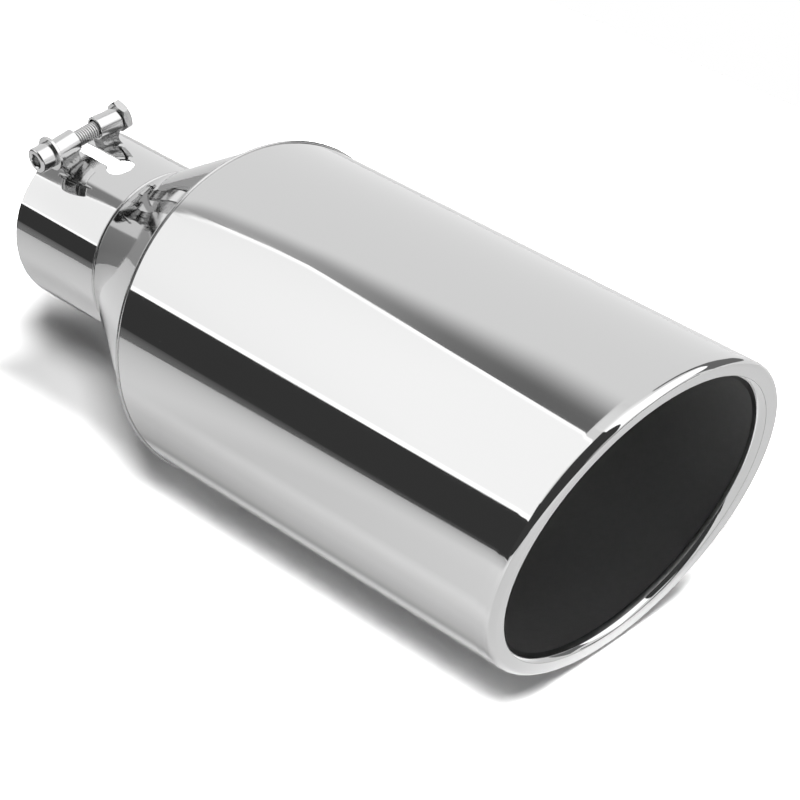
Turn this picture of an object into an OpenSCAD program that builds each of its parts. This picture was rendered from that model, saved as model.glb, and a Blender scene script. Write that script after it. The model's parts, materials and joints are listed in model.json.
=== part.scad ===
// Clamp-on exhaust tip: a slotted inlet neck, a flared cone and a polished barrel
// with an inward rolled lip on a slanted end. Millimetres.
// Origin: centre of the inlet's end plane. +X runs to the outlet, +Z is the side
// with the clamp bolt, which is also the long side of the slanted end.

/* [Shell] */
// Inside diameter of the inlet neck, which slides over the tailpipe
inlet_bore_d = 101.6; // [60:0.1:120]
// Thickness of the sheet metal
sheet_t = 1.2; // [0.8:0.1:2]
// Length of the straight inlet neck
neck_len = 76.2; // [70:0.1:120]
// Length of the flared cone
cone_len = 87.6; // [50:0.1:140]
// Outside diameter of the barrel
barrel_d = 199; // [150:1:240]
// Length along the axis from the inlet to the start of the rolled lip
axis_len = 466.5; // [300:0.5:600]

/* [Slanted end] */
// Slant of the end from square
cut_angle = 20; // [0:0.5:30]
// Radius of the lip's outer roll, from the barrel wall to the crest
lip_outer_r = 4.8; // [3:0.1:8]
// Radius of the lip's inner roll, from the crest back into the barrel
lip_inner_r = 8; // [5:0.1:12]

/* [Clamp slot] */
// Width of the slot in the neck
slot_w = 9; // [5:0.5:14]
// Radius of the round relief at the slot's closed end
relief_r = 8.2; // [6:0.1:11]
// Distance of the relief's centre from the inlet
relief_x = 48; // [35:0.5:60]

/* [Clamp hardware] */
// Distance of the bolt's axis from the inlet
bolt_x = 16; // [12:0.1:26]
// Gap between the neck's outside and the bottom of the sleeves
sleeve_lift = 2.2; // [1:0.1:5]
// Tilt of the sleeves, which dip outwards as the neck's round does
sleeve_tilt = 4; // [0:0.5:4]
// Outside diameter of the sleeves
sleeve_d = 14; // [13:0.1:18]
// Inside diameter of the sleeves
sleeve_bore_d = 11.3; // [11.3:0.1:12.5]
// Length of each sleeve
sleeve_len = 15.7; // [10:0.1:20]
// Open gap between the two sleeves, along their tops
sleeve_gap = 16; // [12:0.5:20]
// Thread diameter of the bolt
bolt_d = 10; // [8:1:10]
// Diameter of the bolt's head
head_d = 15.5; // [13:0.1:18]
// Height of the bolt's head
head_h = 10; // [8:0.5:12]
// Width across flats of the socket in the head
socket_af = 8; // [5:1:10]
// Depth of the socket
socket_depth = 5; // [3:0.5:7]
// Turn of the socket about the bolt
socket_turn = 4; // [0:1:59]
// Length of thread that stands out of the nut
bolt_stick_out = 1; // [0.5:0.5:3]
// Outside diameter of the washer
washer_d = 21; // [18:0.5:24]
// Thickness of the washer
washer_t = 2; // [1:0.5:3]
// Width across flats of the nut
nut_af = 17; // [15:1:19]
// Thickness of the nut
nut_t = 5; // [4:0.5:9]
// Turn of the nut about the bolt
nut_turn = 8; // [0:1:59]
// Angle of the chamfers on the nut's corners
nut_chamfer = 30; // [15:5:45]
// Chamfer at the rim of the head and at the end of the thread
edge_break = 0.8; // [0.4:0.1:1.2]

/* [Welds] */
// Radius of the bead round each seam of the shell
seam_bead_r = 0.9; // [0.6:0.1:2.5]
// Half width of the weld pedestal under a sleeve
pedestal_half_w = 4; // [3:0.1:6]
// Radius of the pedestal's flare where it meets the neck
pedestal_flare_r = 3.5; // [1:0.1:5]
// Radius of the hollow in the pedestal's outer end
pedestal_hollow_r = 6; // [4:0.5:10]
// How deep that hollow goes in from the end of the sleeve
pedestal_hollow_depth = 4; // [1:0.5:6]

/* [Clearances] */
// Radial play between the bolt and the washer
washer_clear = 0.25; // [0.1:0.05:0.5]
// Radial play between the bolt and the nut's bore
nut_clear = 0.05; // [0.02:0.01:0.1]
// How far the pedestals stay back from the sleeves' ends
pedestal_inset = 0.6; // [0.2:0.1:2]

/* [Hidden] */
$fn = 96;
neck_r = inlet_bore_d / 2 + sheet_t;
barrel_r = barrel_d / 2;
barrel_x = neck_len + cone_len;
cone_angle = atan((barrel_r - neck_r) / cone_len);
// Wall of the cone measured square to the axis
cone_wall = sheet_t / cos(cone_angle);
crest_r = barrel_r - lip_outer_r;
slant = tan(cut_angle);
bolt_z = neck_r + sleeve_lift + sleeve_d / 2;
sleeve_in_y = sleeve_gap / 2;
sleeve_out_y = sleeve_in_y + sleeve_len * cos(sleeve_tilt);
// Middle of a tilted sleeve, placed so that the top of its ends is at sleeve_in_y and sleeve_out_y
sleeve_mid_y = (sleeve_in_y + sleeve_out_y - sleeve_d * sin(sleeve_tilt)) / 2;
head_y = -sleeve_out_y - washer_t;
bolt_end_y = sleeve_out_y + nut_t + bolt_stick_out;
// How far the shapes that cut run past the metal
past = 1;

// Turns a profile drawn as (radius, distance along the axis) about the X axis
module spun() {
    rotate([0, 90, 0]) rotate_extrude() children();
}

// Puts a shape drawn along +Z on the bolt's axis, starting at y and running towards +Y
module on_bolt(y) {
    translate([bolt_x, y, bolt_z]) rotate([-90, 0, 0]) children();
}

module shell_outline(x0, r0, x1, r1, wall) {
    polygon([[r0 - wall, x0], [r0, x0], [r1, x1], [r1 - wall, x1]]);
}

module inlet_neck() {
    color([0.80, 0.80, 0.81]) difference() {
        spun() shell_outline(0, neck_r, neck_len, neck_r, sheet_t);
        translate([-past, -slot_w / 2, 0]) cube([relief_x + past, slot_w, neck_r + past]);
        translate([relief_x, 0, 0]) cylinder(r = relief_r, h = neck_r + past);
    }
}

module transition_cone() {
    color([0.76, 0.76, 0.77])
        spun() shell_outline(neck_len, neck_r, barrel_x, barrel_r, cone_wall);
}

// Quarter of a ring of sheet metal that rises from the outer (+1) or the inner (-1) side
module roll(r, side) {
    reach = 2 * r;
    difference() {
        circle(r = r);
        circle(r = r - sheet_t);
        translate([-reach, -2 * reach]) square(2 * reach);
        translate([side > 0 ? -reach : 0, -reach]) square([reach, 2 * reach]);
    }
}

// Section of the lip from the end of the wall: a tight roll out to the crest and a wider
// one back into the barrel
module lip_section() {
    translate([crest_r, 0]) roll(lip_outer_r, 1);
    translate([crest_r, lip_outer_r - lip_inner_r]) roll(lip_inner_r, -1);
}

// A round tube cut off at the slant, and the lip, which is sheared so that it runs round
// the slanted end and stays smooth with the wall
module outer_barrel() {
    color([0.82, 0.82, 0.83]) {
        difference() {
            spun() shell_outline(barrel_x, barrel_r, axis_len + slant * barrel_r + past, barrel_r, sheet_t);
            translate([axis_len, 0, 0]) rotate([0, cut_angle, 0])
                translate([0, -barrel_d, -barrel_d]) cube(2 * barrel_d);
        }
        multmatrix([[1, 0, slant, axis_len], [0, 1, 0, 0], [0, 0, 1, 0], [0, 0, 0, 1]])
            spun() lip_section();
    }
}

// Bead over a seam at x, r, less the metal that it lies on
module seam_bead(x, r) {
    spun() difference() {
        translate([r, x]) circle(r = seam_bead_r);
        polygon([[0, 0], [neck_r, 0], [neck_r, neck_len], [barrel_r, barrel_x],
                 [barrel_r, axis_len], [0, axis_len]]);
    }
}

module neck_seam_weld() {
    color([0.70, 0.70, 0.71]) seam_bead(neck_len, neck_r);
}

module barrel_seam_weld() {
    color([0.72, 0.72, 0.73]) seam_bead(barrel_x, barrel_r);
}

// Cylinder on the axis of the sleeve on the +Y side
module in_sleeve(d, h) {
    on_bolt(sleeve_mid_y) rotate([-sleeve_tilt, 0, 0]) cylinder(d = d, h = h, center = true);
}

module sleeve() {
    difference() {
        in_sleeve(sleeve_d, sleeve_len);
        in_sleeve(sleeve_bore_d, sleeve_len + 2 * past);
    }
}

module nut_side_sleeve() {
    color([0.78, 0.78, 0.79]) sleeve();
}

module head_side_sleeve() {
    color([0.78, 0.78, 0.79]) mirror([0, 1, 0]) sleeve();
}

// Weld pedestal on the +Y side: a rib round the neck with flared feet, cut to the
// sleeve above it and hollowed at its outer end
module pedestal() {
    foot = pedestal_half_w + pedestal_flare_r;
    rib_h = bolt_z - neck_r;
    difference() {
        intersection() {
            translate([bolt_x, 0, 0]) spun() difference() {
                translate([neck_r, -foot]) square([rib_h, 2 * foot]);
                for (side = [-1, 1]) {
                    translate([neck_r + pedestal_flare_r, side * foot]) circle(r = pedestal_flare_r);
                    translate([neck_r + pedestal_flare_r, side * foot - pedestal_flare_r])
                        square([rib_h, 2 * pedestal_flare_r]);
                }
            }
            translate([bolt_x - foot - past, sleeve_in_y + pedestal_inset, 0])
                cube([2 * (foot + past), sleeve_out_y - sleeve_in_y - 2 * pedestal_inset, bolt_z]);
        }
        in_sleeve(sleeve_d, 2 * sleeve_len);
        translate([bolt_x - foot - past, sleeve_out_y - pedestal_hollow_depth + pedestal_hollow_r,
                   neck_r - sleeve_lift])
            rotate([0, 90, 0]) cylinder(r = pedestal_hollow_r, h = 2 * (foot + past));
    }
}

module nut_side_pedestal() {
    color([0.55, 0.55, 0.56]) pedestal();
}

module head_side_pedestal() {
    color([0.55, 0.55, 0.56]) mirror([0, 1, 0]) pedestal();
}

module clamp_bolt() {
    color([0.74, 0.74, 0.75]) on_bolt(head_y - head_h) difference() {
        rotate_extrude() polygon([
            [0, 0], [head_d / 2 - edge_break, 0], [head_d / 2, edge_break], [head_d / 2, head_h],
            [bolt_d / 2, head_h], [bolt_d / 2, bolt_end_y - head_y + head_h - edge_break],
            [bolt_d / 2 - edge_break, bolt_end_y - head_y + head_h], [0, bolt_end_y - head_y + head_h]]);
        rotate([0, 0, -socket_turn]) translate([0, 0, -past])
            cylinder(d = socket_af / cos(30), h = socket_depth + past, $fn = 6);
    }
}

module flat_washer() {
    color([0.76, 0.76, 0.77]) on_bolt(head_y) difference() {
        cylinder(d = washer_d, h = washer_t);
        translate([0, 0, -past]) cylinder(r = bolt_d / 2 + washer_clear, h = washer_t + 2 * past);
    }
}

module hex_nut() {
    corner_r = nut_af / 2 / cos(30);
    chamfer_h = (corner_r - nut_af / 2) * tan(nut_chamfer);
    color([0.74, 0.74, 0.75]) on_bolt(sleeve_out_y) difference() {
        intersection() {
            rotate([0, 0, 30 - nut_turn]) cylinder(r = corner_r, h = nut_t, $fn = 6);
            rotate_extrude() polygon([
                [0, 0], [nut_af / 2, 0], [corner_r, chamfer_h], [corner_r, nut_t - chamfer_h],
                [nut_af / 2, nut_t], [0, nut_t]]);
        }
        translate([0, 0, -past]) cylinder(r = bolt_d / 2 + nut_clear, h = nut_t + 2 * past);
    }
}

inlet_neck();
transition_cone();
outer_barrel();
neck_seam_weld();
barrel_seam_weld();
head_side_sleeve();
nut_side_sleeve();
head_side_pedestal();
nut_side_pedestal();
clamp_bolt();
flat_washer();
hex_nut();
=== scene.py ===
"""Looks of the clamp-on exhaust tip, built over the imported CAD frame. Sizes are in millimetres."""

import json
import math

import bpy
import numpy as np
from mathutils import Matrix, Vector

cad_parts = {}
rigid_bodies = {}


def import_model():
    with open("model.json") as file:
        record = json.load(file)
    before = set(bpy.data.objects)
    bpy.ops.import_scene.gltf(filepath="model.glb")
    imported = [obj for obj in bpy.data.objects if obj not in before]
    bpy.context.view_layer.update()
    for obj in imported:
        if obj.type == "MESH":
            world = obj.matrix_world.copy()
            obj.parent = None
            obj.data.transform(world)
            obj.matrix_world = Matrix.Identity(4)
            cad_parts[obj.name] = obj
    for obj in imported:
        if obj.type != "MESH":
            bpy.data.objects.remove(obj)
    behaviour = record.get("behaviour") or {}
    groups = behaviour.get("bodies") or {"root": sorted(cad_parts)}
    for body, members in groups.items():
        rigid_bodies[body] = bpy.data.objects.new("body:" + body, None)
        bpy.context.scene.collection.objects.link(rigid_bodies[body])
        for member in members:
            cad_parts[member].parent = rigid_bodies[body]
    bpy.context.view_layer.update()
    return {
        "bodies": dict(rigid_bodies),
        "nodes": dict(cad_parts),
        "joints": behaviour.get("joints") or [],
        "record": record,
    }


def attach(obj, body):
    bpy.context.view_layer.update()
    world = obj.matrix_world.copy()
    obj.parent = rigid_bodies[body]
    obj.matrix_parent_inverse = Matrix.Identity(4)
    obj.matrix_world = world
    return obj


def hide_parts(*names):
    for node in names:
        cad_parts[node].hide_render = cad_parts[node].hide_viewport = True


MM = 0.001

# Neck, cone and barrel, as in the CAD source
NECK_R = 52.0
SHEET_T = 1.2
NECK_LEN = 76.2
BARREL_R = 99.5
BARREL_X = 163.8
AXIS_LEN = 466.5
SLANT = math.tan(math.radians(20))
CONE_ANGLE = math.atan((BARREL_R - NECK_R) / (BARREL_X - NECK_LEN))
CONE_WALL = SHEET_T / math.cos(CONE_ANGLE)
BEAD_R = 0.9

# Slot in the neck, and the round relief at its end
SLOT_W = 9.0
RELIEF_R = 8.2
RELIEF_X = 48.0

# Rolled lip: an outer roll from the wall to the crest, and an inner roll back to the sheet's edge
LIP_OUTER_R = 4.8
LIP_INNER_R = 8.0
LIP_BACK = LIP_OUTER_R - LIP_INNER_R
CREST_R = BARREL_R - LIP_OUTER_R
# Distances back from the end of the barrel's wall (None is its start), and how many degrees the
# normal leans forward there, because the wall starts to curve before the lip
WALL_LEANS = ((None, 0), (200, 0), (9.5, 0), (7, 1.5), (2.6, 1.5), (1, 4), (0, 5))
# The rolls: place of the centre along X, radius, turns from the wall in degrees, the turn of the
# normal at each, and the material. The face is nearly flat between the rolls, with a crease inside it
LIP_ROLLS = (
    (0, LIP_OUTER_R, (0, 10, 55, 75, 90), (5, 12, 55, 90, 90), 0),
    (LIP_BACK, LIP_INNER_R, (90, 120, 124), (90, 92, 98), 0),
    (LIP_BACK, LIP_INNER_R, (124, 126), (135, 135), 1),
    (LIP_BACK, LIP_INNER_R, (126, 136, 180), (130, 138, 180), 0),
)
# Degrees between rows on the outside and the inside of the lip
LIP_OUTSIDE_STEP = 2
LIP_INSIDE_STEP = 5

# Clamp bolt, its sleeves and its washer
BOLT_X = 16.0
BOLT_Z = 61.2
SLEEVE_D = 14.0
SLEEVE_BORE_D = 11.3
SLEEVE_LEN = 15.7
SLEEVE_TILT = math.radians(4)
SLEEVE_EDGE_R = 0.35
SLEEVE_IN_Y = 8.0
SLEEVE_OUT_Y = SLEEVE_IN_Y + SLEEVE_LEN * math.cos(SLEEVE_TILT)
SLEEVE_MID_Y = (SLEEVE_IN_Y + SLEEVE_OUT_Y - SLEEVE_D * math.sin(SLEEVE_TILT)) / 2
BOLT_R = 5.0
HEAD_R = 7.75
HEAD_H = 10.0
HEAD_RIM_R = 1.3
HEAD_FOOT_R = 0.3
SOCKET_AF = 8.0
SOCKET_DEPTH = 5.0
SOCKET_CHAMFER = 0.15
SOCKET_CONE = 1.6
SOCKET_TURN = math.radians(4)
WASHER_R = 10.5
WASHER_T = 2.0
WASHER_BORE_R = 5.25
WASHER_EDGE_R = 0.25
NUT_T = 5.0
BOLT_STICK_OUT = 1.0
HEAD_Y = -SLEEVE_OUT_Y - WASHER_T
BOLT_END_Y = SLEEVE_OUT_Y + NUT_T + BOLT_STICK_OUT
THREAD_PITCH = 1.5
THREAD_ROOT_R = 4.1
# One turn of the rolled thread: part of the pitch, and the radius there
THREAD_PROFILE = (
    (0.0, BOLT_R - 0.03), (0.12, BOLT_R), (0.3, BOLT_R), (0.42, BOLT_R - 0.06),
    (0.56, THREAD_ROOT_R + 0.1), (0.66, THREAD_ROOT_R), (0.74, THREAD_ROOT_R),
    (0.84, THREAD_ROOT_R + 0.1), (0.96, BOLT_R - 0.1),
)

# Steps round a full turn of the shell, of the small pieces and of the thread
SHELL_STEPS = 480
SMALL_STEPS = 96
THREAD_STEPS = 72
# Steps round a quarter of the keyhole
KEYHOLE_STEPS = 24

# Frames of (origin, axis, side, side): the shell turns about X, and the bolt about Y
SHELL = ((0, 0, 0), (1, 0, 0), (0, 1, 0), (0, 0, 1))
BOLT = ((BOLT_X, 0, BOLT_Z), (0, 1, 0), (1, 0, 0), (0, 0, 1))

# Range of a noise's values that is used, since it seldom leaves it
NOISE_LOW = 0.3
NOISE_HIGH = 0.7
NOISE_DETAIL = 3.0

# Strength of the white room, as light on the object and as it is seen
ROOM_LIGHT = 0.06
ROOM_SEEN = 1.0

FLOOR_Z = -100.4
FLOOR_CORNERS = ((-1500, -1500), (1500, -1500), (1500, 450), (-1500, 450))
# Painted shade and light in the floor as the metal mirrors it, at distances from the X axis beside the
# barrel: raised right under the barrel, and lowered just beyond it like a soft shadow
MIRRORED_FLOOR_PAINTED_LEVELS = (
    (0, 1.8), (65, 1.6), (80, 1.05), (92, 0.5), (105, 0.72), (120, 0.84),
    (136, 0.96), (156, 1.02), (185, 1.02), (216, 0.9), (340, 0.98), (600, 1.2),
)
# The ramp of these levels holds them divided by this
LEVEL_TOP = 2.0
# How pale the metal sees the floor behind the inlet and before the mouth, and where each starts and ends:
# painted light and shade there that take the place of the levels beside the barrel
PAINTED_FLOOR_BY_INLET = 1.1
INLET_CHANGE = (-30, 120)
PAINTED_FLOOR_BY_MOUTH = 0.8
MOUTH_CHANGE = (400, 460)
# How pale it is as light on the object, and as the camera sees it near the object and away from it. The
# lower level near the object is painted shade, which deepens its shadow
FLOOR_LIGHT = 0.9
FLOOR_PAINTED_SHADE = 1.1
FLOOR_WHITE = 2.6
# Where the painted shade near the object ends, beside the X axis and behind the inlet
PAINTED_SHADE_SIDE = (48, 80)
PAINTED_SHADE_BACK = (-30, -90)

# The soft light is bent round the X axis at this radius, between these places along X
LIGHT_R = 1316.0
LIGHT_FROM = -1460
LIGHT_TO = -290
BENT_ROWS = 40
# Places along X, and the angle of the light's upper and lower edge at each
LIGHT_TOP = (
    (-1414, -1358, -1302, -1125, -1105, -1075, -1021, -967, -913, -807, -699, -537, -300),
    (116.9, 110.7, 106.1, 103.0, 99.0, 96.0, 93.6, 91.6, 90.8, 93.2, 95.8, 99.2, 104.0),
)
LIGHT_BOTTOM = ((-1302, -1125), (160.0, 157.8))
# Strength of the light along X, and of its two brighter edges
LIGHT_PLAIN = ((-1500, -1250, -1050, -600), (1.42, 1.32, 1.33, 1.43))
LIGHT_TOP_EDGE = 1.7
LIGHT_BOTTOM_EDGE = 1.75
# Degrees from each edge to where the brighter part ends, and to where the plain part starts
LIGHT_TOP_WIDTHS = (1.4, 2.6)
LIGHT_BOTTOM_WIDTHS = (2.2, 3.2)

# The grey streak above the light: where it ends along X, how dark it is, how many degrees wide,
# and which part of its width is evenly dark before it fades
STREAK_TO = -450
STREAK_DEPTH = (
    (-1302, -1125, -1057, -940, -827, -710, -590),
    (0.7, 0.5, 0.45, 0.5, 0.62, 0.75, 0.81),
)
STREAK_WIDTH = (
    (-1414, -1302, -1125, -940, -827, -710, -590),
    (24, 14, 12, 14, 20, 26, 32),
)
STREAK_EVEN = ((-1302, -1125), (0.75, 0.2))
STREAK_STEPS = 13

# The table ends behind the object, and the room beyond it is dark
TABLE_END = -530
# Flat cards: the strength at each corner, and the corners
DARK_CARDS = (
    ("room_side", (0.05, 0.05, 0.05, 0.05),
     ((-3200, -1340, 900), (1200, -1340, 900), (1200, -1800, -101), (-3200, -1800, -101))),
    ("room_floor", (0.16, 0.05, 0.4, 0.5),
     ((-3200, -1800, -100), (TABLE_END, -1800, -100), (TABLE_END, 450, -100), (-3200, 450, -100))),
    ("room_end", (0.16, 0.5, 0.5, 0.16),
     ((-3200, -1800, -100), (-3200, 450, -100), (-3200, 450, 700), (-3200, -1800, 700))),
    ("front_gap", (0.05, 0.05, 0.05, 0.05),
     ((2600, -1300, -60), (2600, 2600, -60), (2600, 2600, 260), (2600, -1300, 260))),
)
# Bent sheets that only the lip mirrors: their angles, where they start along X at some of the
# angles, and pairs of a distance further along and the strength there
LIP_CARDS = (
    ("lip_light", range(28, 97, 4), ((28, 56, 70, 82, 96), (-270, -290, -370, -440, -450)),
     ((0, 0.95), (60, 1.1), (150, 1.3), (230, 1.75), (3600, 1.75))),
    ("lip_room", range(96, 181, 6), ((96, 181), (-290, -290)), ((0, 0.06), (4450, 0.06))),
    ("lip_far_side", range(-4, 29, 4), ((-4, 28), (-340, -340)), ((0, 0.2), (1640, 0.2))),
    ("lip_outline", range(28, 61, 4), ((28, 40, 60), (-340, -345, -330)), ((0, 0.1), (60, 0.1))),
)

# Lamps: their watts, and the direction in which they stand from the object
LAMPS = (
    ("key_light", 50, (0.6, -0.35, 1.0)),
    ("fill_light", 20, (0.6, 0.5, 1.0)),
)
# Metres: the lamps' side, how far away they stand, and what they point at
LAMP_SIDE = 0.6
LAMP_AWAY = 2.4
LAMP_TARGET = (0.3, 0, 0)

# The camera's place in metres, and the directions of the picture's right, down and depth
CAMERA_PLACE = (1.55554971, -0.89792868, 1.08888114)
CAMERA_ROWS = (
    (0.648027784, 0.748953290, -0.138307488),
    (0.366180856, -0.465618068, -0.805674497),
    (-0.667811030, 0.471453904, -0.575985802),
)
LENS = 158.396
SENSOR = 36
# Metres between which the camera sees
CLIP_START = 0.05
CLIP_END = 60


def linear(hex_colour):
    """The linear RGBA of an sRGB hex colour."""
    parts = [int(hex_colour[i:i + 2], 16) / 255 for i in (0, 2, 4)]
    return [c / 12.92 if c <= 0.04045 else ((c + 0.055) / 1.055) ** 2.4 for c in parts] + [1.0]


def add_node(tree, kind, settings=(), **inputs):
    """Adds a shader node, sets its properties, and sets or links its inputs by name, or i0, i1 and on."""
    node = tree.nodes.new(kind)
    for key, value in dict(settings).items():
        setattr(node, key, value)
    for key, value in inputs.items():
        numbered = key[0] == "i" and key[1:].isdigit()
        socket = node.inputs[int(key[1:]) if numbered else key.replace("_", " ")]
        if isinstance(value, bpy.types.NodeSocket):
            tree.links.new(value, socket)
        else:
            socket.default_value = value
    return node


def new_material(name):
    """An empty material, and its tree."""
    material = bpy.data.materials.new(name)
    material.use_nodes = True
    material.node_tree.nodes.clear()
    return material, material.node_tree


def metal(name, hex_colour, roughness, rough_spread, grain, bump=0.0):
    """A bare metal. Its grain, sized in millimetres along X, Y and Z, varies the roughness, and it
    stands as high as bump says."""
    material, tree = new_material(name)
    where = add_node(tree, "ShaderNodeTexCoord")
    shader = add_node(tree, "ShaderNodeBsdfPrincipled", Base_Color=linear(hex_colour), Metallic=1.0,
                      Roughness=roughness)
    scaled = add_node(tree, "ShaderNodeMapping", Vector=where.outputs["Object"],
                      Scale=[1 / (size * MM) for size in grain])
    noise = add_node(tree, "ShaderNodeTexNoise", Vector=scaled.outputs[0], Scale=1.0,
                     Detail=NOISE_DETAIL)
    spread = add_node(tree, "ShaderNodeMapRange", i0=noise.outputs[0], i1=NOISE_LOW, i2=NOISE_HIGH,
                      i3=roughness, i4=roughness + rough_spread)
    tree.links.new(spread.outputs[0], shader.inputs["Roughness"])
    if bump:
        raised = add_node(tree, "ShaderNodeBump", Height=noise.outputs[0], Strength=1.0,
                          Distance=bump * MM)
        tree.links.new(raised.outputs[0], shader.inputs["Normal"])
    add_node(tree, "ShaderNodeOutputMaterial", Surface=shader.outputs[0])
    return material


def finishes():
    """The tip's metals, each named for what it is and how its surface was made."""
    # Sheet buffed on a wheel is a clear mirror. The wheel's lines, less than 0.1 mm apart, are too
    # fine to show, so they are drawn 50 mm long and 1.7 mm wide, as a slight change of roughness
    mirror = metal("polished_stainless_steel", "cfcfcf", 0.02, 0.04, (50, 5 / 3, 5 / 3))
    # Sheet left as it was rolled, inside the shells, is matt and blurs what it mirrors. Its pits are
    # too fine to show, so its cloudy patches are drawn 3.3 mm wide
    dull = metal("dull_stainless_steel", "b4b4b4", 0.5, 0.1, (10 / 3, 10 / 3, 10 / 3))
    # Seam welds that were polished with the shell still show their ripples, 1.25 mm apart, so they
    # glint unevenly
    weld = metal("weld_steel", "bdbdbd", 0.16, 0.1, (1.25, 1.25, 1.25), bump=0.05)
    # Bright zinc plating gives a soft mirror. Its crystals are too fine to show, so they are drawn
    # as patches 2 mm wide
    plated = metal("zinc_plated_steel", "cacaca", 0.12, 0.08, (2, 2, 2))
    # The same plating on a rolled thread is paler and a little rougher, in patches 1 mm wide, about
    # as wide as a turn
    rolled = metal("plated_thread_steel", "d8d8d8", 0.2, 0.05, (1, 1, 1))
    # Welds left as they set are darker and lumpy, with drops about 3.3 mm wide and 0.5 mm high
    dark_weld = metal("dark_weld_steel", "8e8e8e", 0.16, 0.1, (10 / 3, 10 / 3, 10 / 3), bump=0.5)
    return mirror, dull, weld, plated, rolled, dark_weld


class Surface:
    """A mesh put together from grids of points that carry their own normals."""

    def __init__(self):
        self.points = []
        self.normals = []
        self.faces = []
        self.slots = []
        self.count = 0

    def grid(self, points, normals, slot=0, closed=True):
        """Adds rows of points, rows by steps by 3, and joins the last step to the first if closed."""
        points = np.asarray(points, float)
        normals = np.asarray(normals, float)
        rows, steps = points.shape[:2]
        normals = normals / np.maximum(np.linalg.norm(normals, axis=2, keepdims=True), 1e-12)
        joins = steps if closed else steps - 1
        i, j = np.meshgrid(np.arange(rows - 1), np.arange(joins), indexing="ij")
        here = i * steps + j
        beside = i * steps + (j + 1) % steps
        quads = np.stack([here, beside, beside + steps, here + steps], -1).reshape(-1, 4)
        flat = points.reshape(-1, 3)
        flat_n = normals.reshape(-1, 3)
        a, b, c, d = (flat[quads[:, k]] for k in range(4))
        across = np.cross(c - a, d - b)
        whole = np.linalg.norm(across, axis=1) > 1e-9
        quads = quads[whole]
        if (across[whole] * flat_n[quads[:, 0]]).sum() < 0:
            quads = quads[:, ::-1]
        self.points.append(flat)
        self.normals.append(flat_n)
        self.faces.append(quads + self.count)
        self.slots.append(np.full(len(quads), slot))
        self.count += len(flat)

    def revolve(self, profile, normals, frame, slot=0, steps=SMALL_STEPS, angles=None):
        """Turns a profile of (radius, along) points about the axis of a frame."""
        origin, axis, u, v = (np.asarray(x, float) for x in frame)
        closed = angles is None
        if closed:
            angles = np.linspace(0, 2 * math.pi, steps, endpoint=False)
        ring = np.cos(angles)[:, None] * u + np.sin(angles)[:, None] * v
        profile = np.asarray(profile, float)
        normals = np.asarray(normals, float)
        points = origin + profile[:, None, 1:2] * axis + profile[:, None, 0:1] * ring[None]
        across = normals[:, None, 1:2] * axis + normals[:, None, 0:1] * ring[None]
        self.grid(points, across, slot, closed)

    def line(self, start, end, frame, slot=0, side=1, **more):
        """A straight piece of profile, from (radius, along) to (radius, along). Side 1 or -1 says on
        which side of it the surface is seen."""
        dr = end[0] - start[0]
        dx = end[1] - start[1]
        normal = (side * dx, -side * dr)
        self.revolve([start, end], [normal, normal], frame, slot, **more)

    def arc(self, centre, radius, start, end, frame, bends=4, **more):
        """A round piece of profile, with angles in degrees: 0 is outwards, and 90 along the axis."""
        turn = np.radians(np.linspace(start, end, bends + 1))
        unit = np.stack([np.cos(turn), np.sin(turn)], 1)
        self.revolve(np.asarray(centre) + radius * unit, unit, frame, **more)

    def build(self, name, materials, slot, *nodes):
        """Makes the object, which stands for the CAD nodes and rides on the part's one body."""
        mesh = bpy.data.meshes.new(name)
        points = np.concatenate(self.points) * MM
        faces = np.concatenate(self.faces)
        mesh.from_pydata(points.tolist(), [], faces.tolist())
        for material in materials:
            mesh.materials.append(material)
        mesh.polygons.foreach_set("material_index", np.concatenate(self.slots).astype(np.int32))
        mesh.polygons.foreach_set("use_smooth", np.ones(len(faces), bool))
        mesh.normals_split_custom_set_from_vertices(np.concatenate(self.normals).tolist())
        thing = bpy.data.objects.new(name, mesh)
        bpy.context.scene.collection.objects.link(thing)
        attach(thing, "root")
        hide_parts(*nodes)
        return thing


def slope_normals(points):
    """Normals of a grid of points from the slopes along its rows and steps."""
    along = np.gradient(points, axis=0)
    across = np.gradient(points, axis=1)
    return np.cross(along, across)


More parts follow.
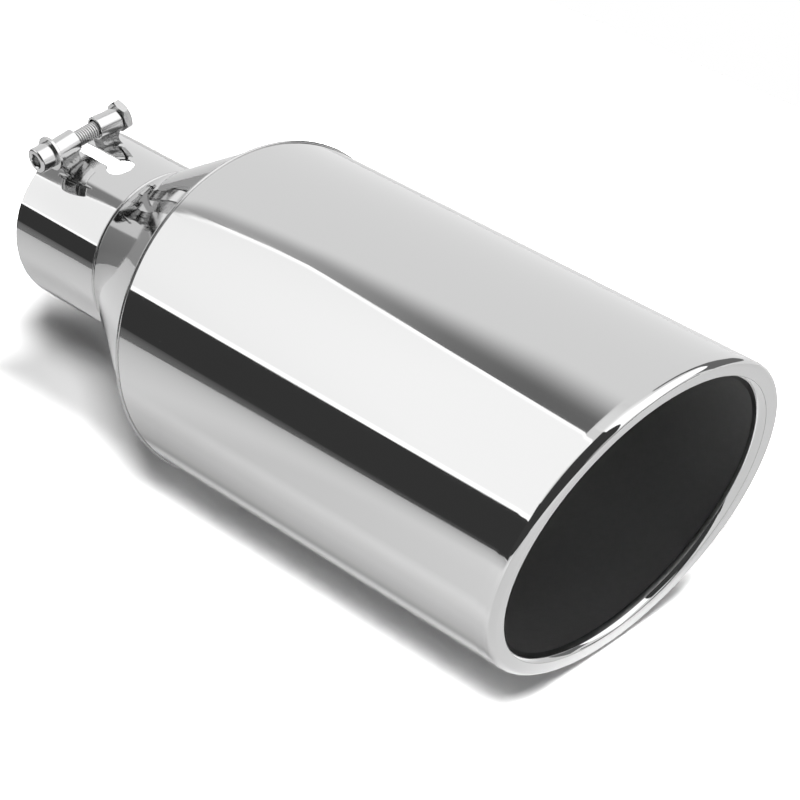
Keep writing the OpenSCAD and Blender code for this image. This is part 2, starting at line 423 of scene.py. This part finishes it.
def inlet_neck(materials):
    """The slotted neck: a tube with a keyhole cut straight down through its top."""
    made = Surface()
    corner = math.asin(SLOT_W / 2 / RELIEF_R)
    corner_x = RELIEF_X - RELIEF_R * math.cos(corner)
    side_turn = np.linspace(corner, math.pi / 2, KEYHOLE_STEPS + 1)
    front_turn = np.linspace(-corner, corner, KEYHOLE_STEPS + 1)

    def patch(face, y, x0, x1):
        """A piece of the tube's top from x0 to x1 at each y, on its outer or its inner face."""
        radius, way, slot = face
        z = np.sqrt(radius ** 2 - y ** 2)
        rows = [np.stack([np.broadcast_to(x, y.shape), y, z], 1) for x in (x0, x1)]
        normal = way * np.stack([0 * y, y, z], 1)
        made.grid(rows, [normal, normal], slot, closed=False)

    for face in ((NECK_R, 1, 0), (NECK_R - SHEET_T, -1, 1)):
        for side in (-1, 1):
            y = side * RELIEF_R * np.sin(side_turn)
            patch(face, y, 0.0, RELIEF_X - RELIEF_R * np.cos(side_turn))
            patch(face, y, RELIEF_X + RELIEF_R * np.cos(side_turn), NECK_LEN)
        front_y = RELIEF_R * np.sin(front_turn)
        patch(face, front_y, RELIEF_X + RELIEF_R * np.cos(front_turn), NECK_LEN)
        radius, way, slot = face
        first = math.pi - math.acos(RELIEF_R / radius)
        last = 2 * math.pi + math.acos(RELIEF_R / radius)
        angles = np.linspace(first, last, SHELL_STEPS + 1)
        profile = [(radius, 0), (radius, NECK_LEN)]
        made.revolve(profile, [(way, 0), (way, 0)], SHELL, slot, angles=angles)

    def cut_edge(x, y, nx, ny):
        """The sheet's edge along a path of the keyhole."""
        rows = []
        for radius in (NECK_R, NECK_R - SHEET_T):
            rows.append(np.stack([x, y, np.sqrt(radius ** 2 - y ** 2)], 1))
        normal = np.stack([nx, ny, 0 * x], 1)
        made.grid(rows, [normal, normal], 0, closed=False)

    for side in (-1, 1):
        x = np.array([0.0, corner_x])
        y = np.full(2, side * SLOT_W / 2)
        cut_edge(x, y, np.zeros(2), np.full(2, -side))
    turn = np.linspace(corner - math.pi, math.pi - corner, 4 * KEYHOLE_STEPS + 1)
    cut_edge(RELIEF_X + RELIEF_R * np.cos(turn), RELIEF_R * np.sin(turn), -np.cos(turn), -np.sin(turn))
    gap = math.asin(SLOT_W / 2 / NECK_R)
    angles = np.linspace(math.pi / 2 + gap, 2.5 * math.pi - gap, SHELL_STEPS + 1)
    made.line((NECK_R, 0), (NECK_R - SHEET_T, 0), SHELL, angles=angles)
    return made.build("polished_neck", materials, "polished_stainless", "inlet_neck")


def transition_cone(materials):
    """The flared sheet between the neck and the barrel."""
    made = Surface()
    inner_start = (NECK_R - CONE_WALL, NECK_LEN)
    inner_end = (BARREL_R - CONE_WALL, BARREL_X)
    made.line((NECK_R, NECK_LEN), (BARREL_R, BARREL_X), SHELL, steps=SHELL_STEPS)
    made.line(inner_start, inner_end, SHELL, 1, side=-1, steps=SHELL_STEPS)
    return made.build("polished_cone", materials, "polished_stainless", "transition_cone")


def outer_barrel(materials):
    """The barrel's wall to the slanted plane, and the lip rolled inwards round that plane."""
    made = Surface()
    angles = np.linspace(0, 2 * math.pi, SHELL_STEPS, endpoint=False)
    up = np.sin(angles)
    out = np.stack([0 * up, np.cos(angles), up], 1)

    def wall(radius, way, slot):
        """The wall's rows, whose normals lean a little where the wall starts to curve into the lip."""
        rows = []
        across = []
        for back, lean in WALL_LEANS:
            x = BARREL_X + 0 * up if back is None else AXIS_LEN + SLANT * radius * up - back
            rows.append(out * radius + np.stack([x, 0 * x, 0 * x], 1))
            across.append(way * out + math.tan(math.radians(lean)) * np.array([1.0, 0, 0]))
        made.grid(rows, across, slot)

    def sheared(profile, normals, slot):
        """A lip profile of (radius, along) points, sheared with the slant."""
        rows = []
        across = []
        for (r, s), (nr, ns) in zip(profile, normals):
            x = AXIS_LEN + SLANT * r * up + s
            rows.append(out * r + np.stack([x, 0 * x, 0 * x], 1))
            across.append(nr * out + np.stack([ns + 0 * up, 0 * up, -SLANT * ns + 0 * up], 1))
        made.grid(rows, across, slot)

    wall(BARREL_R, 1, 0)
    wall(BARREL_R - SHEET_T, -1, 1)
    for along, radius, turns, leans, slot in LIP_ROLLS:
        centre = np.array([CREST_R, along])
        for outside, degrees in ((True, LIP_OUTSIDE_STEP), (False, LIP_INSIDE_STEP)):
            count = max(3, 1 + (turns[-1] - turns[0]) // degrees)
            turn = np.linspace(turns[0], turns[-1], count)
            lean = np.radians(np.interp(turn, turns, leans))
            turn = np.radians(turn)
            unit = np.stack([np.cos(turn), np.sin(turn)], 1)
            if outside:
                sheared(centre + radius * unit, np.stack([np.cos(lean), np.sin(lean)], 1), slot)
            else:
                sheared(centre + (radius - SHEET_T) * unit, -unit, 1)
    edge_r = CREST_R - LIP_INNER_R
    sheared([(edge_r, LIP_BACK), (edge_r + SHEET_T, LIP_BACK)], [(0, -1), (0, -1)], 0)
    return made.build("polished_barrel", materials, "polished_stainless", "outer_barrel")


def seam_bead(name, node, radius, x, start, end, material):
    """A weld bead round a seam, from the angle where it leaves one sheet to where it meets the other."""
    made = Surface()
    made.arc((radius, x), BEAD_R, start, end, SHELL, bends=12, steps=SHELL_STEPS)
    return made.build(name, [material], "weld_steel", node)


def clamp_sleeve(name, node, side, material):
    """A short tube with rounded edges, tilted as it stands on its weld."""
    made = Surface()
    axis = np.array([0, side * math.cos(SLEEVE_TILT), -math.sin(SLEEVE_TILT)])
    u = np.array([1.0, 0, 0])
    frame = ((BOLT_X, side * SLEEVE_MID_Y, BOLT_Z), axis, u, np.cross(axis, u))
    outer = SLEEVE_D / 2
    inner = SLEEVE_BORE_D / 2
    half = SLEEVE_LEN / 2
    edge = SLEEVE_EDGE_R
    made.line((outer, -half + edge), (outer, half - edge), frame)
    made.line((inner, -half + edge), (inner, half - edge), frame, side=-1)
    for way in (-1, 1):
        made.arc((outer - edge, way * (half - edge)), edge, 0, 90 * way, frame)
        made.line((outer - edge, way * half), (inner + edge, way * half), frame, side=-way)
        made.arc((inner + edge, way * (half - edge)), edge, 90 * way, 180 * way, frame)
    return made.build(name, [material], "plated_steel", node)


def bolt_head(made, top):
    """The round head, from the washer to its flat top."""
    foot = HEAD_FOOT_R
    made.line((HEAD_R, top + HEAD_RIM_R), (HEAD_R, HEAD_Y - foot), BOLT)
    made.arc((HEAD_R - HEAD_RIM_R, top + HEAD_RIM_R), HEAD_RIM_R, 0, -90, BOLT, bends=8)
    made.arc((HEAD_R - foot, HEAD_Y - foot), foot, 0, 90, BOLT)
    made.line((HEAD_R - foot, HEAD_Y), (BOLT_R, HEAD_Y), BOLT, side=-1)


def bolt_socket(made, top):
    """The head's flat top and its six-sided socket, with a small chamfer and a drilled bottom."""
    mouth_r = SOCKET_AF / 2 / math.cos(math.pi / 6) + SOCKET_CHAMFER
    made.line((HEAD_R - HEAD_RIM_R, top), (mouth_r, top), BOLT)
    angles = SOCKET_TURN + np.linspace(0, 2 * math.pi, SMALL_STEPS, endpoint=False)
    ring = np.stack([np.cos(angles), 0 * angles, np.sin(angles)], 1)
    folded = (angles - SOCKET_TURN) % (math.pi / 3) - math.pi / 6
    hexagon = SOCKET_AF / 2 / np.cos(folded)
    start = np.array([BOLT_X, top, BOLT_Z])
    deep = np.array([0, 1.0, 0])
    flats = start + ring * hexagon[:, None]
    rim = flats + (mouth_r - hexagon)[:, None] * deep
    bottom = flats + SOCKET_DEPTH * deep
    made.grid([start + ring * mouth_r, rim], [-ring - deep] * 2)
    flat_steps = SMALL_STEPS // 6
    for k in range(6):
        pick = [(flat_steps * k + m) % SMALL_STEPS for m in range(flat_steps + 1)]
        facing = SOCKET_TURN + math.pi / 3 * (k + 0.5)
        normal = np.tile([-math.cos(facing), 0, -math.sin(facing)], (flat_steps + 1, 1))
        made.grid([rim[pick], bottom[pick]], [normal, normal], closed=False)
    tip = start + 0 * ring + (SOCKET_DEPTH + SOCKET_CONE) * deep
    made.grid([bottom, tip], [-deep + 0 * ring] * 2)


def bolt_thread(made):
    """The helical thread, which tapers at the bolt's end, and the end's flat face."""
    turns = int(math.ceil((BOLT_END_Y - HEAD_Y) / THREAD_PITCH)) + 1
    beta = np.linspace(0, 2 * math.pi, THREAD_STEPS + 1)
    rows = []
    for k in range(-1, turns):
        for along, radius in THREAD_PROFILE:
            y = HEAD_Y + THREAD_PITCH * (k + along + beta / (2 * math.pi))
            y = np.clip(y, HEAD_Y, BOLT_END_Y)
            r = np.minimum(radius, THREAD_ROOT_R + (BOLT_END_Y - y))
            rows.append(np.stack([BOLT_X + r * np.sin(beta), y, BOLT_Z + r * np.cos(beta)], 1))
    rows = np.array(rows)
    made.grid(rows, slope_normals(rows), 1, closed=False)
    made.line((THREAD_ROOT_R, BOLT_END_Y), (0.0, BOLT_END_Y), BOLT, 1, side=-1)


def clamp_bolt(materials):
    """The bolt: a round head with a hex socket, and a helical thread."""
    made = Surface()
    top = HEAD_Y - HEAD_H
    bolt_head(made, top)
    bolt_socket(made, top)
    bolt_thread(made)
    return made.build("threaded_bolt", materials, "plated_steel", "clamp_bolt")


def flat_washer(material):
    """The plain washer under the bolt's head, with rounded outer edges."""
    made = Surface()
    edge = WASHER_EDGE_R
    near = HEAD_Y
    far = HEAD_Y + WASHER_T
    made.line((WASHER_R, near + edge), (WASHER_R, far - edge), BOLT)
    made.arc((WASHER_R - edge, near + edge), edge, 0, -90, BOLT)
    made.arc((WASHER_R - edge, far - edge), edge, 0, 90, BOLT)
    made.line((WASHER_R - edge, near), (WASHER_BORE_R, near), BOLT)
    made.line((WASHER_R - edge, far), (WASHER_BORE_R, far), BOLT, side=-1)
    made.line((WASHER_BORE_R, near), (WASHER_BORE_R, far), BOLT, side=-1)
    return made.build("plain_washer", [material], "plated_steel", "flat_washer")


def reflected_only(name, points, faces, glow):
    """A sheet of light or dark that only reflections see, with a strength at each of its points."""
    mesh = bpy.data.meshes.new(name)
    mesh.from_pydata((np.asarray(points, float) * MM).tolist(), [], faces)
    strengths = mesh.attributes.new("glow", "FLOAT", "POINT")
    strengths.data.foreach_set("value", np.asarray(glow, np.float32))
    material, tree = new_material(name)
    level = add_node(tree, "ShaderNodeAttribute", {"attribute_name": "glow"})
    light = add_node(tree, "ShaderNodeEmission", Color=linear("ffffff"), Strength=level.outputs["Fac"])
    add_node(tree, "ShaderNodeOutputMaterial", Surface=light.outputs[0])
    mesh.materials.append(material)
    sheet = bpy.data.objects.new(name, mesh)
    bpy.context.scene.collection.objects.link(sheet)
    sheet.visible_camera = False
    sheet.visible_diffuse = False
    sheet.visible_shadow = False
    sheet.visible_transmission = False


def bent_points(name, rows):
    """A sheet bent round the object, from equally long rows of (place along X, angle, strength)."""
    points = [(x, LIGHT_R * math.cos(math.radians(turn)), LIGHT_R * math.sin(math.radians(turn)))
              for row in rows for x, turn, strength in row]
    n = len(rows[0])
    faces = [(k * n + m, k * n + m + 1, k * n + n + m + 1, k * n + n + m)
             for k in range(len(rows) - 1) for m in range(n - 1)]
    reflected_only(name, points, faces, [strength for row in rows for x, turn, strength in row])


def bent_sheet(name, row_at, last):
    """A bent sheet up to the last place. row_at gives (angle, strength) pairs at a place along X."""
    places = np.linspace(LIGHT_FROM, last, BENT_ROWS)
    bent_points(name, [[(x, turn, strength) for turn, strength in row_at(x)] for x in places])


def light_panel(x):
    """The soft white light, brighter along its two edges."""
    top = np.interp(x, *LIGHT_TOP)
    bottom = np.interp(x, *LIGHT_BOTTOM)
    plain = np.interp(x, *LIGHT_PLAIN)
    return [(top, LIGHT_TOP_EDGE), (top + LIGHT_TOP_WIDTHS[0], LIGHT_TOP_EDGE),
            (top + LIGHT_TOP_WIDTHS[1], plain), (bottom - LIGHT_BOTTOM_WIDTHS[1], plain),
            (bottom - LIGHT_BOTTOM_WIDTHS[0], LIGHT_BOTTOM_EDGE), (bottom, LIGHT_BOTTOM_EDGE)]


def dark_streak(x):
    """The grey band above the light, which fades out upwards."""
    top = np.interp(x, *LIGHT_TOP)
    depth = np.interp(x, *STREAK_DEPTH)
    width = np.interp(x, *STREAK_WIDTH)
    even = np.interp(x, *STREAK_EVEN)
    row = []
    for t in np.linspace(0, 1, STREAK_STEPS):
        u = max(0.0, (t - even) / (1 - even))
        row.append((top - t * width, 1 - depth * (1 - u * u * (3 - 2 * u))))
    return row


def seen_as_white(tree):
    """1 for rays that see the background straight, or in metal or glass, and 0 for the others."""
    path = add_node(tree, "ShaderNodeLightPath")
    first = add_node(tree, "ShaderNodeMath", {"operation": "MAXIMUM"},
                     i0=path.outputs["Is Camera Ray"], i1=path.outputs["Is Glossy Ray"])
    both = add_node(tree, "ShaderNodeMath", {"operation": "MAXIMUM"},
                    i0=first.outputs[0], i1=path.outputs["Is Transmission Ray"])
    return both.outputs[0]


def white_room():
    """The world: white where it is seen, and hardly any light on the object."""
    world = bpy.data.worlds.new("studio_white")
    bpy.context.scene.world = world
    world.use_nodes = True
    tree = world.node_tree
    tree.nodes.clear()
    strength = add_node(tree, "ShaderNodeMapRange", i0=seen_as_white(tree), i3=ROOM_LIGHT,
                        i4=ROOM_SEEN)
    light = add_node(tree, "ShaderNodeBackground", Color=linear("ffffff"),
                     Strength=strength.outputs[0])
    add_node(tree, "ShaderNodeOutputWorld", Surface=light.outputs[0])


def floor_paint():
    """Matt white paint, with levels of its own for the metal's reflections, light and the camera, and
    painted shade and light that vary with the place near the object.
    """
    material, tree = new_material("pale_floor_painted_shade")
    path = add_node(tree, "ShaderNodeLightPath")
    where = add_node(tree, "ShaderNodeTexCoord")
    split = add_node(tree, "ShaderNodeSeparateXYZ", Vector=where.outputs["Object"])
    along = split.outputs[0]
    aside = add_node(tree, "ShaderNodeMath", {"operation": "ABSOLUTE"}, i0=split.outputs[1]).outputs[0]
    smooth = {"interpolation_type": "SMOOTHSTEP"}

    # What the metal mirrors, with painted shade and light by the distance from the X axis, behind the
    # inlet and before the mouth
    ramp = add_node(tree, "ShaderNodeValToRGB", Fac=aside)
    stops = ramp.color_ramp.elements
    while len(stops) < len(MIRRORED_FLOOR_PAINTED_LEVELS):
        stops.new(0.5)
    for stop, (place, level) in zip(stops, MIRRORED_FLOOR_PAINTED_LEVELS):
        stop.position = place * MM
        stop.color = (level / LEVEL_TOP, level / LEVEL_TOP, level / LEVEL_TOP, 1)
    near = add_node(tree, "ShaderNodeMath", {"operation": "MULTIPLY"}, i0=ramp.outputs[0], i1=LEVEL_TOP)
    under = add_node(tree, "ShaderNodeMapRange", smooth, i0=along,
                     i1=INLET_CHANGE[0] * MM, i2=INLET_CHANGE[1] * MM, i3=0.0, i4=1.0)
    behind = add_node(tree, "ShaderNodeMapRange", i0=under.outputs[0],
                      i3=PAINTED_FLOOR_BY_INLET, i4=near.outputs[0])
    front = add_node(tree, "ShaderNodeMapRange", smooth, i0=along,
                     i1=MOUTH_CHANGE[0] * MM, i2=MOUTH_CHANGE[1] * MM, i3=0.0, i4=1.0)
    mirrored = add_node(tree, "ShaderNodeMapRange", i0=front.outputs[0],
                        i3=behind.outputs[0], i4=PAINTED_FLOOR_BY_MOUTH)
    unseen = add_node(tree, "ShaderNodeMapRange", i0=path.outputs["Is Glossy Ray"],
                      i3=FLOOR_LIGHT, i4=mirrored.outputs[0])

    # What the camera sees, with painted shade near the object that deepens its shadow
    side = add_node(tree, "ShaderNodeMapRange", smooth, i0=aside,
                    i1=PAINTED_SHADE_SIDE[0] * MM, i2=PAINTED_SHADE_SIDE[1] * MM, i3=FLOOR_PAINTED_SHADE, i4=FLOOR_WHITE)
    back = add_node(tree, "ShaderNodeMapRange", smooth, i0=along,
                    i1=PAINTED_SHADE_BACK[0] * MM, i2=PAINTED_SHADE_BACK[1] * MM, i3=FLOOR_PAINTED_SHADE, i4=FLOOR_WHITE)
    seen = add_node(tree, "ShaderNodeMath", {"operation": "MAXIMUM"},
                    i0=side.outputs[0], i1=back.outputs[0])
    level = add_node(tree, "ShaderNodeMapRange", i0=path.outputs["Is Camera Ray"],
                     i3=unseen.outputs[0], i4=seen.outputs[0])
    plain = add_node(tree, "ShaderNodeBsdfDiffuse", Color=level.outputs[0])
    add_node(tree, "ShaderNodeOutputMaterial", Surface=plain.outputs[0])
    return material


def studio_floor():
    """The pale floor, which keeps the object's shadow and carries painted shade and light in its
    material.
    """
    mesh = bpy.data.meshes.new("studio_floor")
    corners = [[x * MM, y * MM, FLOOR_Z * MM] for x, y in FLOOR_CORNERS]
    mesh.from_pydata(corners, [], [(0, 1, 2, 3)])
    floor = bpy.data.objects.new("studio_floor", mesh)
    bpy.context.scene.collection.objects.link(floor)
    mesh.materials.append(floor_paint())


def mirrored_cards():
    """The soft light, the grey screen and the cards that the polished metal mirrors."""
    bent_sheet("soft_light", light_panel, LIGHT_TO)
    bent_sheet("grey_screen", dark_streak, STREAK_TO)
    for name, turns, starts, steps in LIP_CARDS:
        rows = [[(np.interp(turn, *starts) + x, turn, strength) for turn in turns]
                for x, strength in steps]
        bent_points(name, rows)
    for name, glow, corners in DARK_CARDS:
        reflected_only(name, corners, [(0, 1, 2, 3)], glow)


def lamps():
    """Two soft lamps over the object, which the metal doesn't mirror."""
    for name, watts, direction in LAMPS:
        light = bpy.data.lights.new(name, "AREA")
        light.shape = "RECTANGLE"
        light.size = LAMP_SIDE
        light.size_y = LAMP_SIDE
        light.energy = watts
        lamp = bpy.data.objects.new(name, light)
        away = Vector(direction).normalized()
        lamp.location = Vector(LAMP_TARGET) + LAMP_AWAY * away
        lamp.rotation_euler = (-away).to_track_quat("-Z", "Y").to_euler()
        lamp.visible_glossy = False
        bpy.context.scene.collection.objects.link(lamp)


def camera():
    """The photograph's camera, fitted to the outlines of the object."""
    data = bpy.data.cameras.new("photo_camera")
    data.sensor_width = SENSOR
    data.lens = LENS
    data.clip_start = CLIP_START
    data.clip_end = CLIP_END
    cam = bpy.data.objects.new("photo_camera", data)
    bpy.context.scene.collection.objects.link(cam)
    right, down, depth = CAMERA_ROWS
    turned = Matrix([[right[k], -down[k], -depth[k]] for k in range(3)]).to_4x4()
    cam.matrix_world = Matrix.Translation(CAMERA_PLACE) @ turned
    bpy.context.scene.camera = cam


def main():
    """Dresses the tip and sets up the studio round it."""
    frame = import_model()
    bpy.context.scene.view_settings.view_transform = "Standard"
    mirror, dull, weld, plated, rolled, dark_weld = finishes()
    inlet_neck([mirror, dull])
    transition_cone([mirror, dull])
    outer_barrel([mirror, dull])
    cone_turn = math.degrees(CONE_ANGLE)
    seam_bead("neck_seam_bead", "neck_seam_weld", NECK_R, NECK_LEN, 90 - cone_turn, -90, weld)
    seam_bead("barrel_seam_bead", "barrel_seam_weld", BARREL_R, BARREL_X, 90, -90 - cone_turn, weld)
    clamp_sleeve("head_sleeve", "head_side_sleeve", -1, plated)
    clamp_sleeve("nut_sleeve", "nut_side_sleeve", 1, plated)
    clamp_bolt([plated, rolled])
    flat_washer(plated)
    # The nut and the welds under the sleeves keep their CAD shape
    for node, material, slot in (("hex_nut", plated, "plated_steel"),
                                 ("head_side_pedestal", dark_weld, "weld_steel"),
                                 ("nut_side_pedestal", dark_weld, "weld_steel")):
        thing = frame["nodes"][node]
        thing.data.materials.clear()
        thing.data.materials.append(material)
    white_room()
    studio_floor()
    mirrored_cards()
    lamps()
    camera()


main()
